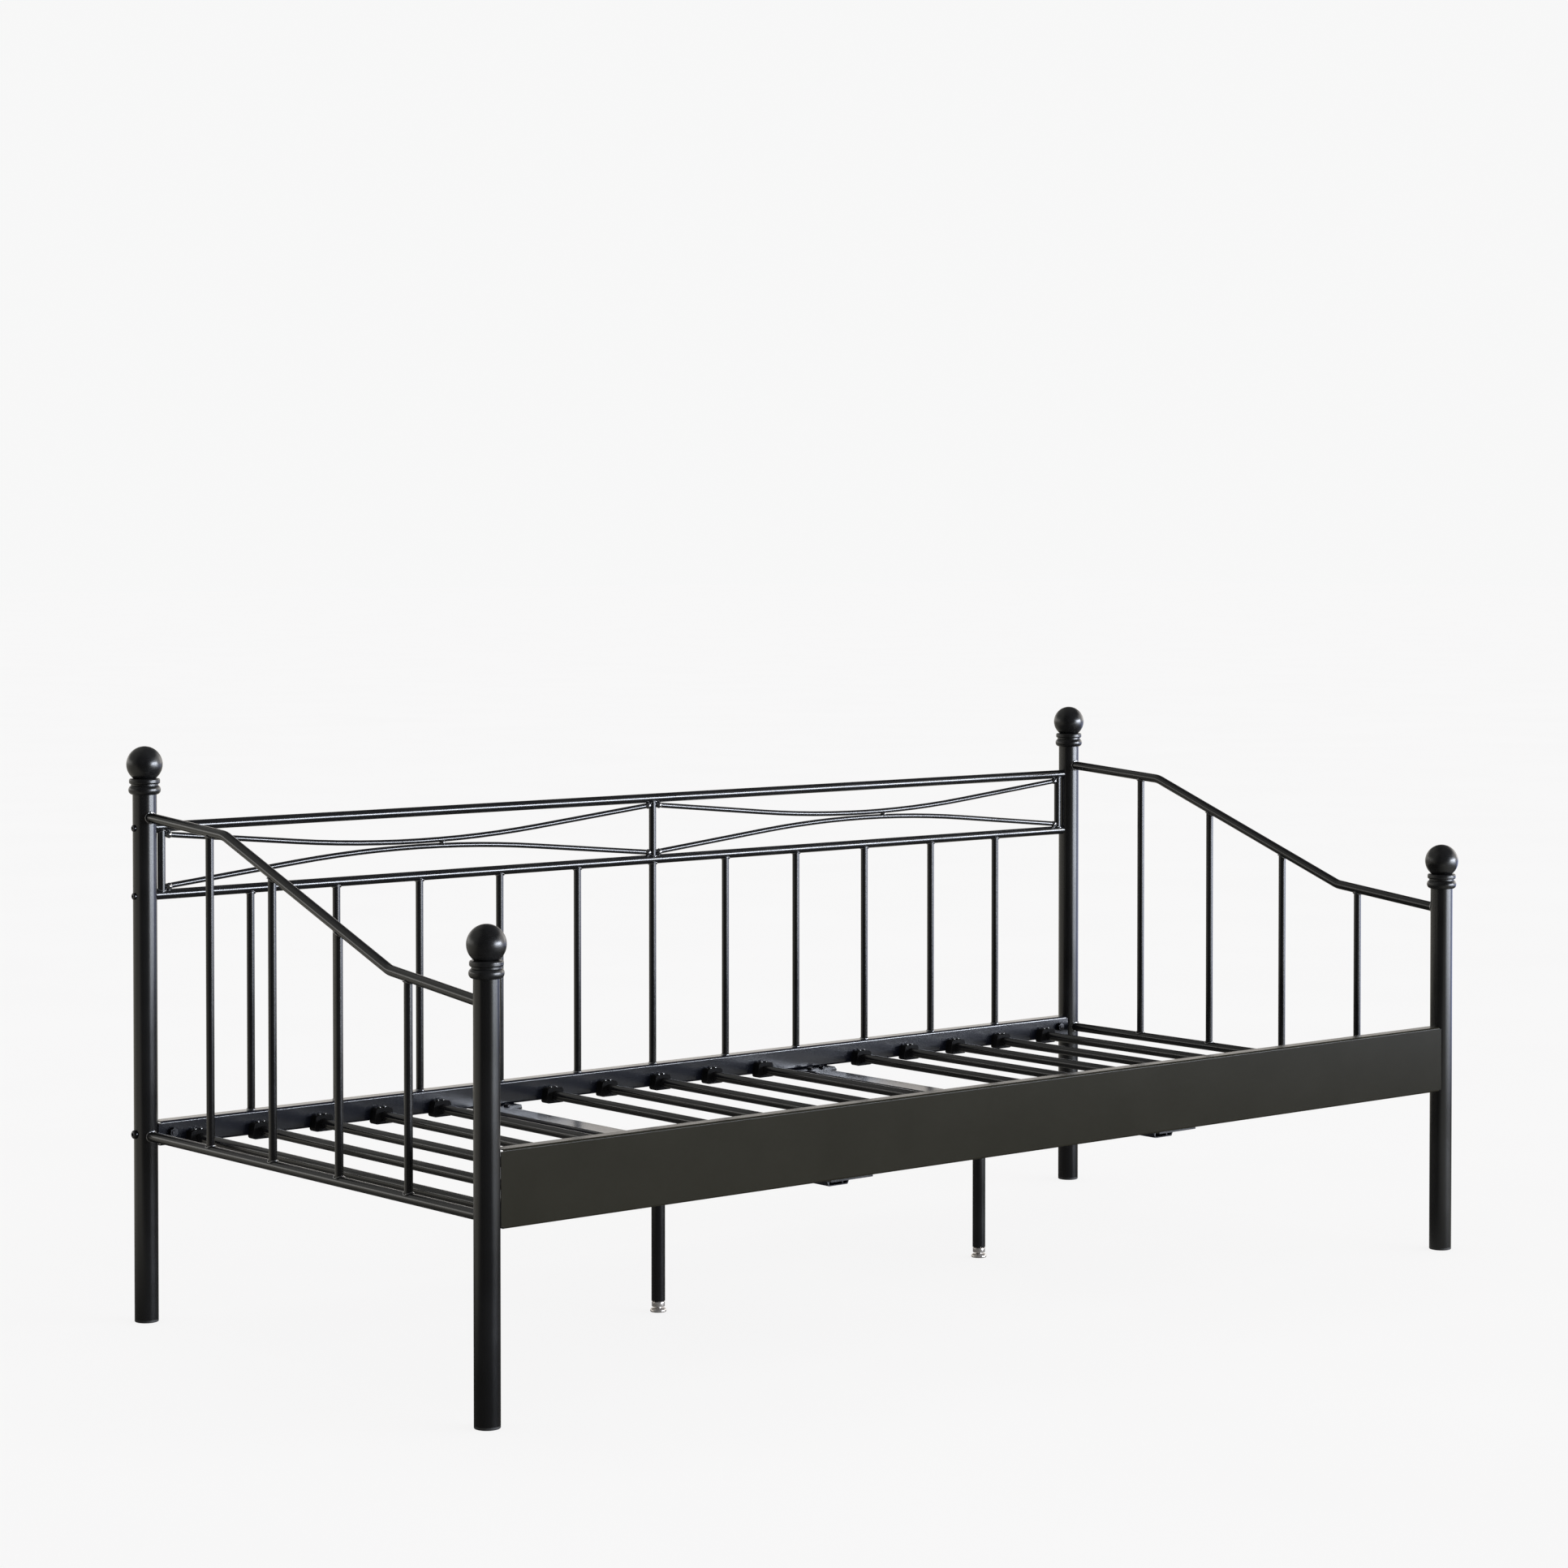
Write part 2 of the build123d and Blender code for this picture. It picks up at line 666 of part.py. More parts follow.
for x_side in sides:
    x = x_side * crossbar_x
    save(f"crossbar_{side_name(x_side)}", crossbar(x))
    leg = straight_tube((x, 0, leg_bottom_z), (x, 0, leg_plate_z), leg_radius, leg_wall)
    save(f"support_leg_{side_name(x_side)}", leg)
    save(f"levelling_foot_{side_name(x_side)}", levelling_foot(x))
crossbar_ends = [(x_side * crossbar_x, y_side) for x_side in sides for y_side in sides]
save("crossbar_plates", *[crossbar_plate(x, y_side) for x, y_side in crossbar_ends])
save("leg_plates", leg_plate(-crossbar_x), leg_plate(crossbar_x))
save("leg_inserts", leg_insert(-crossbar_x), leg_insert(crossbar_x))

save("rail_bolts", *[rail_bolt(x_side, y_side) for x_side in sides for y_side in sides])
save("rail_nuts", *rail_nuts())
save("deck_bolts", *[deck_bolt(x_side) for x_side in sides])
rail_ends = [(x_side, z) for x_side in sides for z in (back_second_z, back_top_z)]
save("back_rail_bolts", *[back_rail_bolt(x_side, z) for x_side, z in rail_ends])
save("back_rail_inserts", *[back_rail_insert(x_side, z) for x_side, z in rail_ends])
crossbar_bolts, crossbar_nuts = crossbar_fasteners()
save("crossbar_bolts", *crossbar_bolts)
save("crossbar_nuts", *crossbar_nuts)
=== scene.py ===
import json
import math

import bpy
import numpy as np
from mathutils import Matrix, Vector, noise


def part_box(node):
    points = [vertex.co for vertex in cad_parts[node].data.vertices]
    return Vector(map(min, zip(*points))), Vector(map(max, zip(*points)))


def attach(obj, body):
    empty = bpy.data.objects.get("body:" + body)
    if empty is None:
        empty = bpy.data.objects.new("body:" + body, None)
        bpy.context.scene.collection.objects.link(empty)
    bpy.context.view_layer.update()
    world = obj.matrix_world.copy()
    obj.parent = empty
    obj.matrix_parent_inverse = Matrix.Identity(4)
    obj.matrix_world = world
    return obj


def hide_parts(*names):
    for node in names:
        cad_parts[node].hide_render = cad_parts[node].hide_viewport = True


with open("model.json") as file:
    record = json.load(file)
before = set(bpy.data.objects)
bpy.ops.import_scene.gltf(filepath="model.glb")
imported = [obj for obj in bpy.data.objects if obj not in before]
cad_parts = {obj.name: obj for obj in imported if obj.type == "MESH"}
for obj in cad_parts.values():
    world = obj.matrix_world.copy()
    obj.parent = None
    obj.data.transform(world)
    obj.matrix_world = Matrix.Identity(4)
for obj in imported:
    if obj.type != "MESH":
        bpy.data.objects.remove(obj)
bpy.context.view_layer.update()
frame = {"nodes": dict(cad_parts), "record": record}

# Looks of a black metal daybed frame. Everything is in metres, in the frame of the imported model.
NODES = frame["nodes"]
BODY = "frame"
X_AXIS = Vector((1, 0, 0))
Y_AXIS = Vector((0, 1, 0))
Z_AXIS = Vector((0, 0, 1))
SIDES = ("left", "right")
MM = 0.001

# ---------------------------------------------------------------- view
# Fitted to the posts, rails and spindles of the photograph: degrees, lens and sensor in millimetres.
CAMERA_PLACE = (-4.0740, -4.7449, 1.2600)
CAMERA_YAW = math.radians(40.033)
CAMERA_PITCH = math.radians(-1.391)
CAMERA_LENS = 86.463
CAMERA_SHIFT = -0.1052
CAMERA_REACH = 200
SENSOR = 36.0


def make_camera():
    data = bpy.data.cameras.new("camera")
    data.sensor_width = SENSOR
    data.lens = CAMERA_LENS
    data.shift_y = CAMERA_SHIFT
    data.clip_end = CAMERA_REACH
    camera = bpy.data.objects.new("camera", data)
    bpy.context.scene.collection.objects.link(camera)
    camera.location = CAMERA_PLACE
    camera.rotation_euler = (math.radians(90) + CAMERA_PITCH, 0, -CAMERA_YAW)
    bpy.context.scene.camera = camera


# ---------------------------------------------------------------- node helpers
class Wiring:
    """Short names for the nodes that the materials and the studio share."""

    def __init__(self, tree):
        self.tree = tree

    def node(self, kind, **settings):
        made = self.tree.nodes.new(kind)
        for key, value in settings.items():
            setattr(made, key, value)
        return made

    def link(self, source, target):
        self.tree.links.new(source, target)

    def feed(self, value, socket):
        """A number, a colour or another node's output into a socket."""
        if isinstance(value, (int, float)):
            socket.default_value = value
        elif isinstance(value, tuple):
            socket.default_value = (*value, 1) if len(socket.default_value) == 4 else value
        else:
            self.link(value, socket)

    def math(self, operation, first, second):
        made = self.node("ShaderNodeMath", operation=operation)
        self.feed(first, made.inputs[0])
        self.feed(second, made.inputs[1])
        return made.outputs["Value"]

    def dot(self, first, second):
        made = self.node("ShaderNodeVectorMath", operation="DOT_PRODUCT")
        self.feed(first, made.inputs[0])
        self.feed(second, made.inputs[1])
        return made.outputs["Value"]

    def spread(self, value, low, high, to_low=0.0, to_high=1.0, smooth=False):
        made = self.node("ShaderNodeMapRange")
        if smooth:
            made.interpolation_type = "SMOOTHSTEP"
        names = ("From Min", "From Max", "To Min", "To Max")
        for name, number in zip(names, (low, high, to_low, to_high)):
            made.inputs[name].default_value = number
        self.link(value, made.inputs["Value"])
        return made.outputs["Result"]

    def mix(self, factor, first, second, blend="MIX"):
        """Blend of two colours."""
        made = self.node("ShaderNodeMix", data_type="RGBA", blend_type=blend)
        self.feed(factor, made.inputs[0])
        self.feed(first, made.inputs[6])
        self.feed(second, made.inputs[7])
        return made.outputs[2]


class Shader(Wiring):
    """One material."""

    def __init__(self, name):
        self.material = bpy.data.materials.new(name)
        self.material.use_nodes = True
        super().__init__(self.material.node_tree)
        self.surface = self.tree.nodes["Principled BSDF"]
        self.place = self.node("ShaderNodeTexCoord").outputs["Object"]
        self.facing = self.node("ShaderNodeNewGeometry").outputs["Normal"]

    def set(self, **values):
        """Numbers on the surface's own sockets."""
        for key, value in values.items():
            self.surface.inputs[key.replace("_", " ")].default_value = value

    def drive(self, **sources):
        for key, source in sources.items():
            self.link(source, self.surface.inputs[key.replace("_", " ")])

    def noise(self, scale, detail=2.0, roughness=0.5, stretch=None):
        made = self.node("ShaderNodeTexNoise")
        made.inputs["Scale"].default_value = scale
        made.inputs["Detail"].default_value = detail
        made.inputs["Roughness"].default_value = roughness
        place = self.place
        if stretch:
            mapping = self.node("ShaderNodeMapping")
            mapping.inputs["Scale"].default_value = stretch
            self.link(place, mapping.inputs["Vector"])
            place = mapping.outputs["Vector"]
        self.link(place, made.inputs["Vector"])
        return made.outputs["Fac"]

    def bump(self, height, strength, distance):
        made = self.node("ShaderNodeBump")
        made.inputs["Strength"].default_value = strength
        made.inputs["Distance"].default_value = distance
        self.link(height, made.inputs["Height"])
        return made.outputs["Normal"]

    def edges(self, radius):
        """1 near sharp outer edges and 0 elsewhere."""
        soft = self.node("ShaderNodeBevel", samples=4)
        soft.inputs["Radius"].default_value = radius
        return self.spread(self.dot(soft.outputs["Normal"], self.facing), 0.99, 0.86)

    def dust(self):
        """Grows where the surface faces up, broken up by soft noise."""
        upward = self.spread(self.dot(self.facing, (0, 0, 1)), 0.35, 1.0)
        return self.math("MULTIPLY", upward, self.spread(self.noise(23.0, 4.0, 0.6), 0.4, 0.72))


# ---------------------------------------------------------------- materials
DUST_COLOUR = (0.035, 0.034, 0.032)
WORN_COLOUR = (0.075, 0.072, 0.068)
COAT_BLACK = (0.0042, 0.0042, 0.0045)
POLISH_ROUGHNESS = 0.12
WELD_POLISH_IOR = 2.6
LUG_POLISH_IOR = 3.4
FINE_BUMP = 0.5 * MM
PITTED_BUMP = 0.3 * MM
TOOL_LINE_BUMP = 0.2 * MM
SHEET_EDGE = 1.2 * MM
MOULDED_EDGE = 0.8 * MM
LUG_HEIGHT = 2.6 * MM
LUG_BLEND = 0.3 * MM
HOLDER_BODY_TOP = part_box("slat_holders_rear")[1].z - LUG_HEIGHT


def lighter(colour, factor, lift):
    return tuple(c * factor + lift for c in colour)


def powder_coat(name, colour, rough, shine, orange_peel, clouding=1.0, edge_radius=0.0, coat=0.0):
    """Smooth powder coat: orange peel, cloudy sheen, a breath of dust and, if asked, lightly rubbed edges."""
    s = Shader(name)
    clouds = s.noise(9.0, 3.0, 0.55)
    peel = s.noise(420.0)
    grain = s.noise(2600.0, 1.0)
    dust = s.dust()
    body = s.mix(s.spread(clouds, 0.35, 0.7), colour, lighter(colour, 1 + 0.5 * clouding, 0.0006 * clouding))
    body = s.mix(s.math("MULTIPLY", dust, 0.12 * clouding), body, DUST_COLOUR)
    sheen = s.spread(clouds, 0.3, 0.75, rough - 0.02 * clouding, rough + 0.03 * clouding)
    sheen = s.math("ADD", sheen, s.spread(peel, 0.3, 0.7, -0.015, 0.015))
    sheen = s.math("ADD", sheen, s.math("MULTIPLY", dust, 0.04 * clouding))
    if edge_radius:
        worn = s.math("MULTIPLY", s.edges(edge_radius), s.spread(s.noise(160.0, 3.0, 0.6), 0.42, 0.7))
        body = s.mix(s.math("MULTIPLY", worn, 0.5), body, WORN_COLOUR)
        sheen = s.math("ADD", sheen, s.math("MULTIPLY", worn, 0.08))
    height = s.math("ADD", peel, s.math("MULTIPLY", grain, 0.12))
    s.drive(Base_Color=body, Roughness=sheen, Normal=s.bump(height, orange_peel, FINE_BUMP))
    s.set(
        Specular_IOR_Level=shine,
        Coat_Weight=coat,
        Coat_Roughness=POLISH_ROUGHNESS,
        Coat_IOR=WELD_POLISH_IOR,
    )
    return s.material


def gloss_plastic(name, colour, rough):
    """Moulded gloss plastic: near smooth, faint swirls and fine handling marks."""
    s = Shader(name)
    marks = s.noise(1.0, 6.0, 0.7, (60, 60, 900))
    clouds = s.noise(38.0, 3.0)
    dust = s.dust()
    body = s.mix(s.spread(clouds, 0.35, 0.7), colour, lighter(colour, 1.7, 0.002))
    body = s.mix(s.math("MULTIPLY", dust, 0.3), body, DUST_COLOUR)
    sheen = s.spread(clouds, 0.3, 0.7, rough - 0.04, rough + 0.05)
    sheen = s.math("ADD", sheen, s.spread(marks, 0.35, 0.65, -0.02, 0.04))
    sheen = s.math("ADD", sheen, s.math("MULTIPLY", dust, 0.1))
    s.drive(Base_Color=body, Roughness=sheen, Normal=s.bump(s.noise(240.0), 0.06, FINE_BUMP))
    s.set(Specular_IOR_Level=0.45)
    return s.material


def matte_plastic(name, colour, rough, shine, texture_scale, polished_above=None):
    """Moulded matt plastic with a fine spark-eroded texture; anything above one height is polished."""
    s = Shader(name)
    pits = s.node("ShaderNodeTexVoronoi")
    pits.inputs["Scale"].default_value = texture_scale
    s.link(s.place, pits.inputs["Vector"])
    clouds = s.noise(45.0, 3.0)
    body = s.mix(s.spread(clouds, 0.35, 0.7), colour, lighter(colour, 1.8, 0.002))
    body = s.mix(s.math("MULTIPLY", s.edges(MOULDED_EDGE), 0.2), body, WORN_COLOUR)
    sheen = s.spread(clouds, 0.3, 0.7, rough - 0.06, rough + 0.06)
    s.drive(Base_Color=body, Roughness=sheen, Normal=s.bump(pits.outputs["Distance"], 0.2, PITTED_BUMP))
    s.set(Specular_IOR_Level=shine)
    if polished_above is not None:
        height = s.dot(s.place, (0, 0, 1))
        s.drive(Coat_Weight=s.spread(height, polished_above, polished_above + LUG_BLEND))
        s.set(Coat_Roughness=POLISH_ROUGHNESS, Coat_IOR=LUG_POLISH_IOR)
    return s.material


def plated_metal(name, colour, tarnish, rough, grooves, metallic=1.0):
    """Turned or drawn metal: fine tool lines round the part, uneven plating and duller patches."""
    s = Shader(name)
    lines = s.noise(1.0, 5.0, 0.65, (30, 30, grooves))
    patches = s.spread(s.noise(150.0, 4.0, 0.6), 0.45, 0.75)
    sheen = s.spread(lines, 0.3, 0.7, rough - 0.05, rough + 0.07)
    sheen = s.math("ADD", sheen, s.math("MULTIPLY", patches, 0.1))
    s.drive(
        Base_Color=s.mix(patches, colour, tarnish),
        Roughness=sheen,
        Normal=s.bump(lines, 0.12, TOOL_LINE_BUMP),
    )
    s.set(Metallic=metallic)
    return s.material


def make_materials():
    return {
        "black_powder_coat": powder_coat("tube_coat", COAT_BLACK, 0.18, 0.55, 0.06),
        "sheet_coat": powder_coat("sheet_coat", (0.0042, 0.0050, 0.0084), 0.19, 0.6, 0.02, 0.4, SHEET_EDGE),
        "panel_coat": powder_coat("panel_coat", (0.0132, 0.0122, 0.0086), 0.2, 0.05, 0.03, 0.2, SHEET_EDGE),
        # Weld beads wear the same black coat as the tubes, with a glossier top coat; their lighter base
        # colour is a painted glint.
        "weld_coat_painted_glint": powder_coat("weld_coat_painted_glint", (0.012, 0.012, 0.013), 0.16, 1.0, 0.1, coat=1.0),
        "finial_gloss": gloss_plastic("finial_gloss", (0.0035, 0.0035, 0.0037), 0.28),
        "foot_cap_plastic": matte_plastic("foot_cap_plastic", (0.009, 0.009, 0.009), 0.6, 0.4, 2200.0),
        "holder_plastic": matte_plastic(
            "holder_plastic", (0.0025, 0.0025, 0.0028), 0.6, 0.08, 2600.0, HOLDER_BODY_TOP
        ),
        "nickel_plate": plated_metal(
            "nickel_plate", (0.62, 0.59, 0.56), (0.46, 0.42, 0.39), 0.18, 9000.0, 0.8
        ),
        "black_zinc": plated_metal("black_zinc", (0.07, 0.07, 0.074), (0.03, 0.03, 0.032), 0.26, 4000.0),
        "insert_steel": plated_metal("insert_steel", (0.55, 0.54, 0.52), (0.38, 0.36, 0.33), 0.35, 5000.0),
    }


SHEET_NODES = (
    "front_slat_rail",
    "rear_slat_rail",
    "rail_brackets",
    "crossbar_left",
    "crossbar_right",
    "crossbar_plates",
    "leg_plates",
)


def paint_cad_nodes():
    """Every carried-over CAD node gets the procedural version of its slot's material."""
    for part in frame["record"]["subparts"]:
        name = part["node"]
        slot = "sheet_coat" if name in SHEET_NODES else part["material_slot"]
        for place in NODES[name].material_slots:
            place.material = materials[slot]


# ---------------------------------------------------------------- reading the CAD nodes
def centre_of(node):
    low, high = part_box(node)
    return (low + high) / 2


def corners(node):
    return np.array([v.co for v in NODES[node].data.vertices], float)


PIECE_GAP = 30 * MM


def clusters(node, axis):
    """Boxes of a node's separate pieces, told apart by the gaps between them along one axis."""
    points = corners(node)
    points = points[np.argsort(points[:, axis])]
    cuts = np.nonzero(np.diff(points[:, axis]) > PIECE_GAP)[0] + 1
    groups = np.split(points, cuts)
    return [(Vector(g.min(0)), Vector(g.max(0))) for g in groups]


def tube_at(node, axis, value):
    """Centre and direction of a tube where it crosses a plane: coordinate number axis equals value."""
    mesh = NODES[node].data
    points = corners(node)
    ends = points[np.array([e.vertices[:] for e in mesh.edges])]
    spans = (ends[:, 0, axis] - value) * (ends[:, 1, axis] - value) < 0
    ends = ends[spans]
    run = ends[:, 1] - ends[:, 0]
    share = (value - ends[:, 0, axis]) / run[:, axis]
    crossing = ends[:, 0] + run * share[:, None]
    run *= np.sign(run[:, axis])[:, None]
    centre = (crossing.min(0) + crossing.max(0)) / 2
    return Vector(centre), Vector(run.sum(0)).normalized()


# ---------------------------------------------------------------- mesh pieces
class Heap:
    """Collects the vertices and faces of one new piece."""

    def __init__(self):
        self.points = []
        self.faces = []

    def grid(self, rows, close_rows):
        """Skin over rows of points; each row closes on itself, and the last row may meet the first."""
        start = len(self.points)
        count = len(rows[0])
        for row in rows:
            self.points.extend(row)
        last = len(rows) if close_rows else len(rows) - 1
        for i in range(last):
            here = start + i * count
            there = start + (i + 1) % len(rows) * count
            for j in range(count):
                k = (j + 1) % count
                self.faces.append((here + j, here + k, there + k, there + j))
        return start

    def cap(self, ring_start, count, flip):
        ring = tuple(range(ring_start, ring_start + count))
        self.faces.append(ring[::-1] if flip else ring)

    def piece(self, name, slot, body, finish=None):
        mesh = bpy.data.meshes.new(name)
        mesh.from_pydata([tuple(p) for p in self.points], [], self.faces)
        mesh.validate()
        mesh.shade_smooth()
        mesh.materials.append(materials[finish or slot])
        made = bpy.data.objects.new(name, mesh)
        bpy.context.scene.collection.objects.link(made)
        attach(made, body)
        return made


BEAD_STEPS = 44
BEAD_SIDES = 8
BEAD_RADIUS = 1.7 * MM
BEAD_RIPPLES = 13
BEAD_RIPPLE_SHARE = 0.10
BEAD_WOBBLE_SHARE = 0.22
BEAD_STAND_OFF = 0.25 * BEAD_RADIUS
BLOB_RINGS = 12
BLOB_SIDES = 18
BLOB_SWELL_SHARE = 0.16
ROD_JOIN_OFFSET = 45 * MM
ROD_JOIN_HALF_LENGTH = 5 * MM


def bead_rows(path, seed):
    """Rows of a weld bead round a closed path of (point, first normal, second normal)."""
    rows = []
    for i, (point, first, second) in enumerate(path):
        ripple = BEAD_RIPPLE_SHARE * math.sin(2 * math.pi * BEAD_RIPPLES * i / len(path))
        wobble = BEAD_WOBBLE_SHARE * noise.noise(Vector((i * 0.35, seed * 7.1, 0)))
        radius = BEAD_RADIUS * (1 + ripple + wobble)
        centre = point + (first + second).normalized() * BEAD_STAND_OFF
        row = []
        for j in range(BEAD_SIDES):
            turn = 2 * math.pi * j / BEAD_SIDES
            row.append(centre + (first * math.cos(turn) + second * math.sin(turn)) * radius)
        rows.append(row)
    return rows


def weld_on_tube(heap, at, along, tube_radius, rail_axis, rail_radius):
    """Bead where a tube that leaves the point at, on a round rail's axis, comes out of the rail."""
    across = (rail_axis - rail_axis.dot(along) * along).normalized()
    other = along.cross(across)
    climb = along - along.dot(rail_axis) * rail_axis
    path = []
    for i in range(BEAD_STEPS):
        turn = 2 * math.pi * i / BEAD_STEPS
        side = across * math.cos(turn) + other * math.sin(turn)
        reach = side * tube_radius
        flat = reach - reach.dot(rail_axis) * rail_axis
        a = climb.dot(climb)
        b = flat.dot(climb)
        c = flat.dot(flat) - rail_radius**2
        rise = (-b + math.sqrt(max(b * b - a * c, 0.0))) / a
        offset = reach + along * rise
        out = (offset - offset.dot(rail_axis) * rail_axis).normalized()
        path.append((at + offset, side, out))
    heap.grid(bead_rows(path, at.x + at.y + at.z), True)


def weld_on_plate(heap, at, along, tube_radius):
    """Bead where a tube stands on a flat face."""
    across = along.orthogonal().normalized()
    other = along.cross(across)
    path = []
    for i in range(BEAD_STEPS):
        turn = 2 * math.pi * i / BEAD_STEPS
        side = across * math.cos(turn) + other * math.sin(turn)
        path.append((at + side * tube_radius, side, along))
    heap.grid(bead_rows(path, at.x + at.y + at.z), True)


def weld_blob(heap, at, half_size, seed):
    """Small uneven lump of weld metal."""
    rows = []
    for i in range(1, BLOB_RINGS):
        lift = math.pi * i / BLOB_RINGS
        row = []
        for j in range(BLOB_SIDES):
            turn = 2 * math.pi * j / BLOB_SIDES
            way = Vector((math.sin(lift) * math.cos(turn), math.sin(lift) * math.sin(turn), math.cos(lift)))
            swell = 1 + BLOB_SWELL_SHARE * noise.noise(way * 1.7 + Vector((seed, 0, 0)))
            row.append(at + Vector(w * h for w, h in zip(way * swell, half_size)))
        rows.append(row)
    start = heap.grid(rows, False)
    heap.cap(start, BLOB_SIDES, False)
    heap.cap(start + (len(rows) - 1) * BLOB_SIDES, BLOB_SIDES, True)


def half_width(low, high, axis=0):
    return (high[axis] - low[axis]) / 2


def weld_back():
    """Welds of the back: spindles, band uprights, the ends of the scroll rods and where the rods meet."""
    heap = Heap()
    second = centre_of("back_second_rail")
    top = centre_of("back_top_rail")
    low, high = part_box("back_top_rail")
    rail_radius = half_width(low, high, 2)
    flange_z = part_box("rear_slat_rail")[1].z
    for low, high in clusters("back_spindles", 0):
        middle = (low + high) / 2
        radius = half_width(low, high)
        weld_on_tube(heap, Vector((middle.x, middle.y, second.z)), -Z_AXIS, radius, X_AXIS, rail_radius)
        weld_on_plate(heap, Vector((middle.x, middle.y, flange_z)), Z_AXIS, radius)
    for low, high in clusters("band_uprights", 0):
        middle = (low + high) / 2
        radius = half_width(low, high)
        weld_on_tube(heap, Vector((middle.x, middle.y, second.z)), Z_AXIS, radius, X_AXIS, rail_radius)
        weld_on_tube(heap, Vector((middle.x, middle.y, top.z)), -Z_AXIS, radius, X_AXIS, rail_radius)
    for side in SIDES:
        upper_low, upper_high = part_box(f"scroll_rod_upper_{side}")
        lower_low, lower_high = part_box(f"scroll_rod_lower_{side}")
        radius = half_width(upper_low, upper_high, 1)
        y = (upper_low.y + upper_high.y) / 2
        for x, inward in ((upper_low.x, 1), (upper_high.x, -1)):
            for z in (upper_high.z - radius, lower_low.z + radius):
                at = Vector((x + inward * 0.7 * radius, y - 0.5 * radius, z))
                weld_blob(heap, at, (1.4 * radius, 1.3 * radius, 1.25 * radius), x + z)
        middle = (upper_low.x + upper_high.x) / 2 + ROD_JOIN_OFFSET
        join = Vector((middle, y - 0.4 * radius, (upper_low.z + lower_high.z) / 2))
        weld_blob(heap, join, (ROD_JOIN_HALF_LENGTH, 1.3 * radius, 1.1 * radius), join.x)
    heap.piece("welds_back", "black_powder_coat", BODY, "weld_coat_painted_glint")


def weld_arm(side):
    """Beads of one arm: spindles onto both rails, and the rails onto both posts."""
    heap = Heap()
    top_rail, bottom_rail = f"arm_top_rail_{side}", f"arm_bottom_rail_{side}"
    low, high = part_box(bottom_rail)
    rail_radius = half_width(low, high)
    bottom_z = (low.z + high.z) / 2
    for low, high in clusters(f"arm_spindles_{side}", 1):
        middle = (low + high) / 2
        radius = half_width(low, high)
        weld_on_tube(heap, Vector((middle.x, middle.y, bottom_z)), Z_AXIS, radius, Y_AXIS, rail_radius)
        centre, way = tube_at(top_rail, 1, middle.y)
        weld_on_tube(heap, centre, -Z_AXIS, radius, way, rail_radius)
    for row, inward in (("front", 1), ("rear", -1)):
        low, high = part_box(f"post_{row}_{side}")
        post = (low + high) / 2
        post_radius = half_width(low, high)
        for rail in (top_rail, bottom_rail):
            centre, way = tube_at(rail, 1, post.y + inward * 2 * post_radius)
            at = centre + way * ((post.y - centre.y) / way.y)
            weld_on_tube(heap, at, way * inward, rail_radius, Z_AXIS, post_radius)
    heap.piece(f"welds_arm_{side}", "black_powder_coat", BODY, "weld_coat_painted_glint")


def weld_legs():
    """Bead round the top of each centre leg, under its plate."""
    heap = Heap()
    for side in SIDES:
        low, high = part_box(f"support_leg_{side}")
        top = Vector(((low.x + high.x) / 2, (low.y + high.y) / 2, high.z))
        weld_on_plate(heap, top, -Z_AXIS, half_width(low, high))
    heap.piece("welds_legs", "black_powder_coat", BODY, "weld_coat_painted_glint")


# ---------------------------------------------------------------- levelling feet
FOOT_SIDES = 60
THREAD_PITCH = 1.25 * MM
THREAD_DEPTH = 0.62 * MM
THREAD_STEPS = 6
STUD_RADIUS = 4 * MM
DISC_RADIUS = 13.0 * MM
DISC_EDGE = 1.5 * MM
DISC_SHOULDER = 2.2 * MM
DISC_DOME = 4.0 * MM
NECK_RADIUS = 6.0 * MM
COLLAR_BASE = 8.7 * MM
COLLAR_TOP = 16.8 * MM
COLLAR_RADIUS = 10.5 * MM
COLLAR_EDGE = 0.7 * MM


def arc(centre_radius, centre_z, size, start_deg, steps):
    """A quarter circle of a turned outline, as (radius, height) points."""
    points = []
    for i in range(steps + 1):
        turn = math.radians(start_deg + 90 * i / steps)
        points.append((centre_radius + size * math.cos(turn), centre_z + size * math.sin(turn)))
    return points


def foot_outline():
    """Turned part from the floor to the top of its collar: domed disc, neck, collar."""
    dome_top = DISC_SHOULDER + DISC_DOME
    collar_middle = COLLAR_RADIUS - COLLAR_EDGE
    return [
        *arc(DISC_RADIUS - DISC_EDGE, DISC_EDGE, DISC_EDGE, -90, 4),
        *arc(DISC_RADIUS - DISC_DOME, DISC_SHOULDER, DISC_DOME, 0, 8),
        (NECK_RADIUS, dome_top),
        (NECK_RADIUS, COLLAR_BASE),
        *arc(collar_middle, COLLAR_BASE + COLLAR_EDGE, COLLAR_EDGE, -90, 3),
        *arc(collar_middle, COLLAR_TOP - COLLAR_EDGE, COLLAR_EDGE, 0, 3),
        (STUD_RADIUS, COLLAR_TOP),
    ]


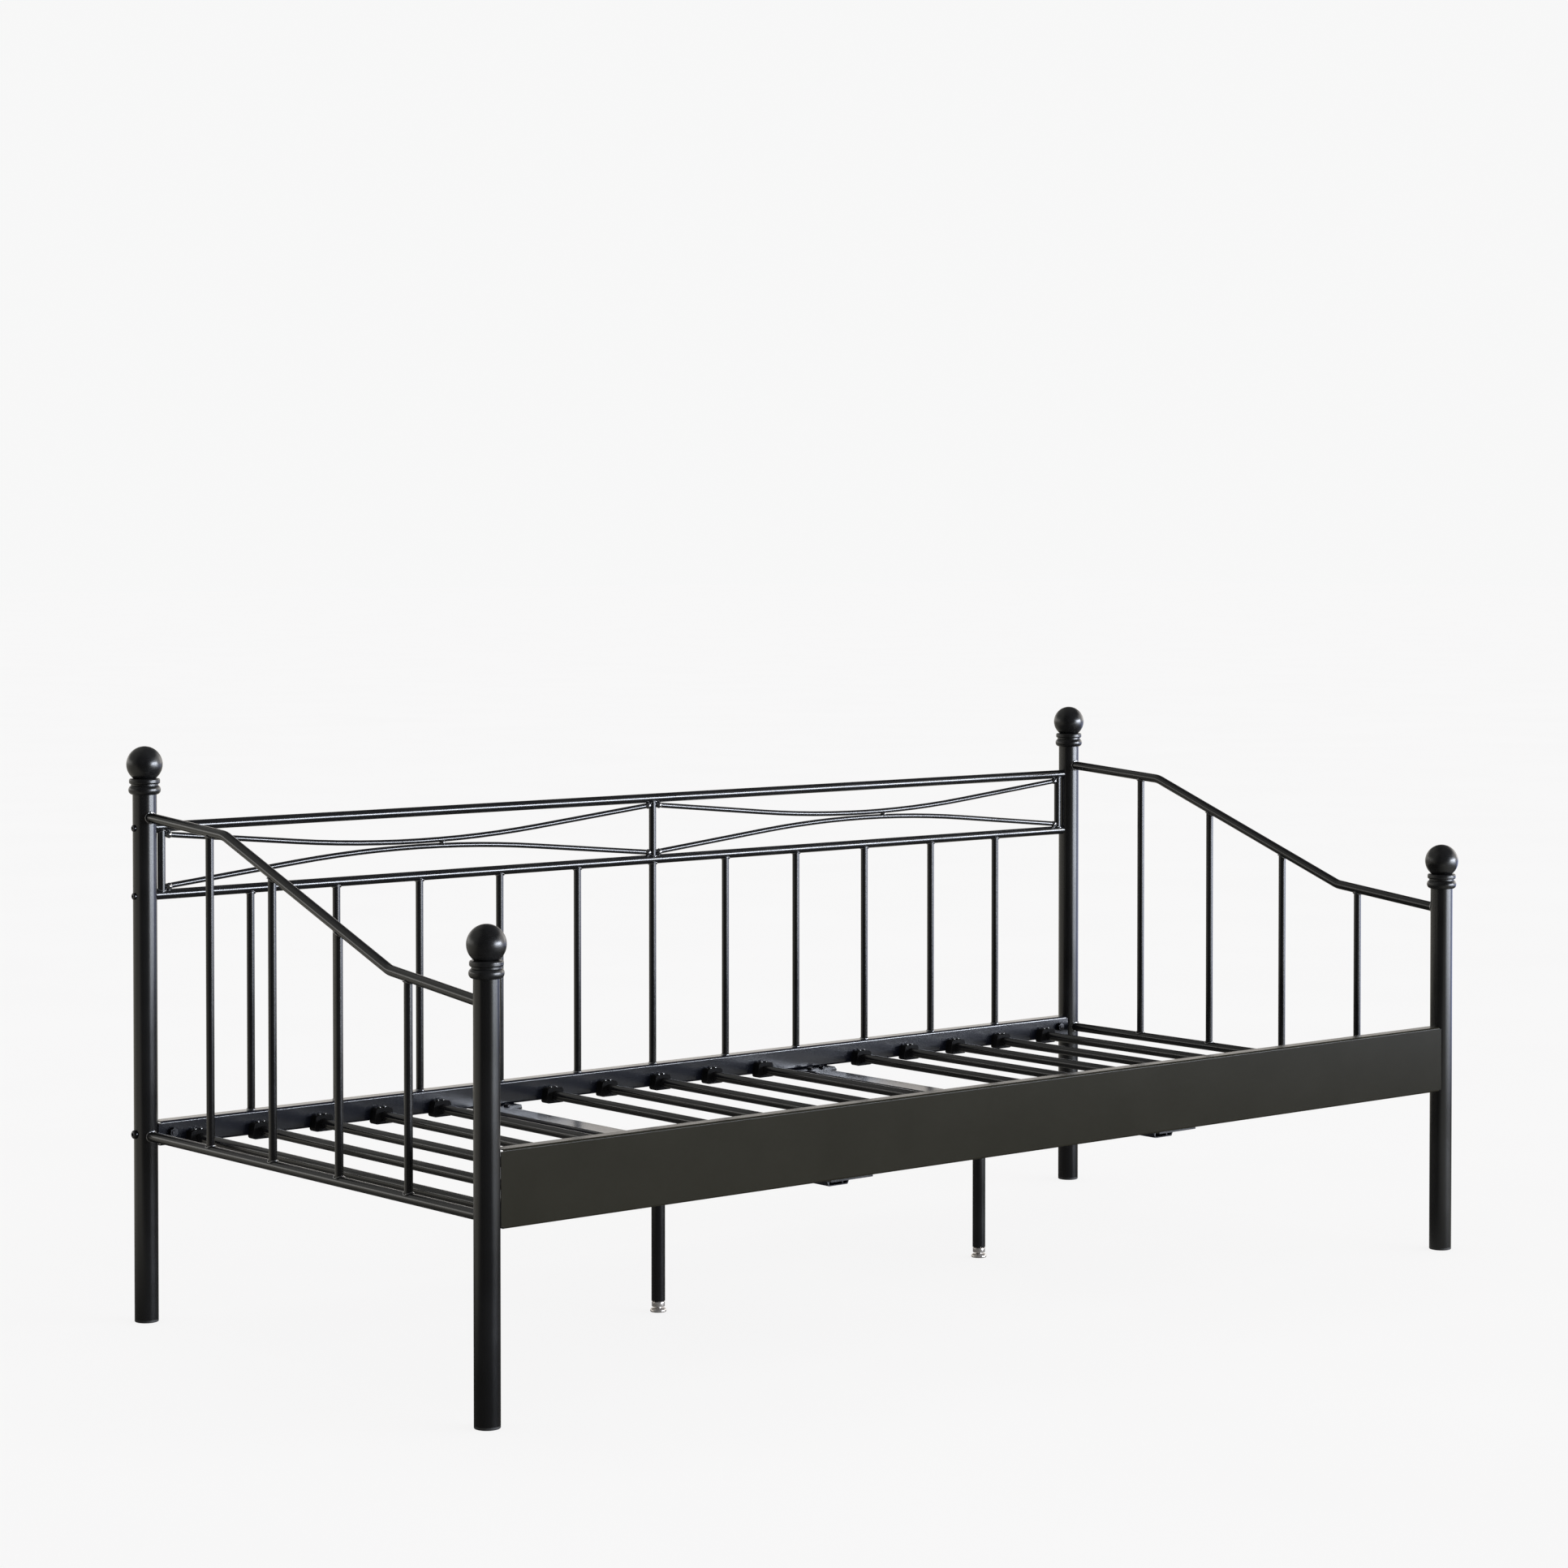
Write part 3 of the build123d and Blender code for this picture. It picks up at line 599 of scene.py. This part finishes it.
def levelling_foot(side):
    """Turned foot with a rolled thread on its stud, in place of the plain CAD one."""
    node = f"levelling_foot_{side}"
    low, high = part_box(node)
    x, y = (low.x + high.x) / 2, (low.y + high.y) / 2
    turns = [2 * math.pi * j / FOOT_SIDES for j in range(FOOT_SIDES)]
    rows = []
    for radius, z in foot_outline():
        rows.append([(x + radius * math.cos(t), y + radius * math.sin(t), z) for t in turns])
    steps = int((high.z - COLLAR_TOP) / THREAD_PITCH * THREAD_STEPS)
    for i in range(1, steps + 1):
        z = COLLAR_TOP + (high.z - COLLAR_TOP) * i / steps
        fade = min(1.0, i / THREAD_STEPS, (steps - i) / THREAD_STEPS + 0.5)
        row = []
        for t in turns:
            phase = (z / THREAD_PITCH - t / (2 * math.pi)) % 1
            cut = abs(2 * phase - 1) * THREAD_DEPTH * fade
            radius = STUD_RADIUS - cut
            row.append((x + radius * math.cos(t), y + radius * math.sin(t), z))
        rows.append(row)
    heap = Heap()
    start = heap.grid(rows, False)
    heap.cap(start, FOOT_SIDES, True)
    heap.cap(start + (len(rows) - 1) * FOOT_SIDES, FOOT_SIDES, False)
    made = heap.piece(f"turned_foot_{side}", "nickel_plate", f"foot_{side}")
    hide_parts(node)


# ---------------------------------------------------------------- studio
# Bearings in degrees from the X axis towards the Y axis, where the studio's lights stand.
WINDOW = -54
RIGHT_WALL = -12
BEHIND = 50
BEHIND_LEFT = 126
NEAR_WINDOW = WINDOW - 6
LEFT_OF_BACK = 100

BACKDROP_WHITE = (0.934, 0.934, 0.934)
WEAK_FILL = (0.07, 0.07, 0.074)
WINDOW_COLOUR = (36.0, 38.4, 43.0)
RIGHT_WALL_COLOUR = (1.9, 1.85, 1.8)
BEHIND_COLOUR = (1.1, 1.04, 0.97)
BEHIND_LEFT_COLOUR = (1.7, 1.66, 1.58)
HIGH_LEFT_COLOUR = (0.34, 0.34, 0.32)

CEILING_STRENGTH = 2.2
CEILING_WIDTH = math.radians(110)
CEILING_TILT = (math.radians(8), math.radians(10), 0)

FLOOR_HALF = 60.0
FLOOR_GLOW = (0.843, 0.840, 0.840)
FLOOR_SHARE = 0.09
FLOOR_FIBRES = 0.004
DIM_FLOOR = (0.07, 0.068, 0.062)


def sideways(w, way, azimuth, half_width_deg, soft_deg):
    """1 for directions near one compass bearing, fading to 0 over soft_deg."""
    flat = w.node("ShaderNodeVectorMath", operation="MULTIPLY")
    w.link(way, flat.inputs[0])
    flat.inputs[1].default_value = (1, 1, 0)
    level = w.node("ShaderNodeVectorMath", operation="NORMALIZE")
    w.link(flat.outputs[0], level.inputs[0])
    bearing = math.radians(azimuth)
    cosine = w.dot(level.outputs[0], (math.cos(bearing), math.sin(bearing), 0.0))
    outer = math.cos(math.radians(half_width_deg + soft_deg))
    inner = math.cos(math.radians(half_width_deg))
    return w.spread(cosine, outer, inner, smooth=True)


def upright(w, way, low_deg, high_deg, soft_deg):
    """1 between two elevations, with soft edges."""
    height = w.dot(way, (0, 0, 1))
    low, high, soft = (math.sin(math.radians(d)) for d in (low_deg, high_deg, soft_deg))
    above = w.spread(height, low - soft, low, smooth=True)
    below = w.spread(height, high, high + soft, 1.0, 0.0, smooth=True)
    return w.math("MULTIPLY", above, below)


def make_world():
    """White to the camera; to the surfaces, a dim studio with a window, pale walls and a weak fill."""
    world = bpy.data.worlds.new("studio")
    world.use_nodes = True
    tree = world.node_tree
    tree.nodes.clear()
    w = Wiring(tree)
    way = w.node("ShaderNodeTexCoord").outputs["Generated"]
    # (bearing, half width, softness), (lowest, highest elevation, softness), colour
    lights = (
        ((WINDOW, 12, 14), (0, 7, 4), WINDOW_COLOUR),
        ((RIGHT_WALL, 24, 16), (-2, 26, 8), RIGHT_WALL_COLOUR),
        ((BEHIND, 40, 18), (-6, 12, 8), BEHIND_COLOUR),
        ((BEHIND_LEFT, 18, 16), (-6, 9, 8), BEHIND_LEFT_COLOUR),
        ((BEHIND_LEFT, 40, 26), (6, 50, 12), HIGH_LEFT_COLOUR),
    )
    glow = WEAK_FILL
    for across, up, colour in lights:
        inside = w.math("MULTIPLY", sideways(w, way, *across), upright(w, way, *up))
        glow = w.mix(inside, glow, colour, "ADD")
    seen = w.node("ShaderNodeLightPath").outputs["Is Camera Ray"]
    background = w.node("ShaderNodeBackground")
    w.link(w.mix(seen, glow, BACKDROP_WHITE), background.inputs["Color"])
    w.link(background.outputs[0], w.node("ShaderNodeOutputWorld").inputs["Surface"])
    bpy.context.scene.world = world


def make_ceiling_light():
    """One very broad soft light from above; polished surfaces do not mirror it."""
    data = bpy.data.lights.new("ceiling", "SUN")
    data.energy = CEILING_STRENGTH
    data.angle = CEILING_WIDTH
    light = bpy.data.objects.new("ceiling", data)
    bpy.context.scene.collection.objects.link(light)
    light.rotation_euler = CEILING_TILT
    light.visible_glossy = False


def make_floor():
    """Pale paper, nearly shadowless. In polished surfaces it looks dim nearby and glares far away."""
    mesh = bpy.data.meshes.new("floor")
    square = [(x * FLOOR_HALF, y * FLOOR_HALF, 0) for x, y in ((-1, -1), (1, -1), (1, 1), (-1, 1))]
    mesh.from_pydata(square, [], [(0, 1, 2, 3)])
    floor = bpy.data.objects.new("floor", mesh)
    bpy.context.scene.collection.objects.link(floor)
    s = Shader("floor_paper")
    fibres = s.spread(s.noise(1.5), 0.3, 0.7, FLOOR_SHARE - FLOOR_FIBRES, FLOOR_SHARE + FLOOR_FIBRES)
    s.drive(Base_Color=s.mix(fibres, (0, 0, 0), (1, 1, 1)))
    s.set(Roughness=0.9, Specular_IOR_Level=0.0)
    s.surface.inputs["Emission Color"].default_value = (*FLOOR_GLOW, 1)
    s.surface.inputs["Emission Strength"].default_value = 1.0
    reach = s.node("ShaderNodeVectorMath", operation="LENGTH")
    s.link(s.place, reach.inputs[0])
    mirrored = DIM_FLOOR
    # (distance where the glare starts, where it is full), (bearing, half width, softness), colour
    for (near, far), across, colour in (
        ((0.6, 1.6), (NEAR_WINDOW, 26, 26), (0.50, 0.50, 0.47)),
        ((2.4, 5.0), (WINDOW, 14, 16), (1.3, 1.4, 1.55)),
        ((4.0, 6.4), (WINDOW, 18, 14), (4.5, 4.8, 5.3)),
        ((2.4, 5.0), (RIGHT_WALL, 24, 16), (0.88, 1.02, 1.6)),
        ((0.9, 2.4), (LEFT_OF_BACK, 70, 24), (0.5, 0.48, 0.42)),
    ):
        away = s.spread(reach.outputs["Value"], near, far, smooth=True)
        mirrored = s.mix(s.math("MULTIPLY", away, sideways(s, s.place, *across)), mirrored, colour, "ADD")
    glow = s.node("ShaderNodeEmission")
    s.link(mirrored, glow.inputs["Color"])
    either = s.node("ShaderNodeMixShader")
    s.link(s.node("ShaderNodeLightPath").outputs["Is Glossy Ray"], either.inputs[0])
    s.link(s.surface.outputs[0], either.inputs[1])
    s.link(glow.outputs[0], either.inputs[2])
    s.link(either.outputs[0], s.tree.nodes["Material Output"].inputs["Surface"])
    s.material.cycles.emission_sampling = "NONE"
    mesh.materials.append(s.material)


materials = make_materials()
paint_cad_nodes()
weld_back()
for side in SIDES:
    weld_arm(side)
    levelling_foot(side)
weld_legs()
make_camera()
make_world()
make_ceiling_light()
make_floor()
bpy.context.scene.view_settings.view_transform = "Standard"
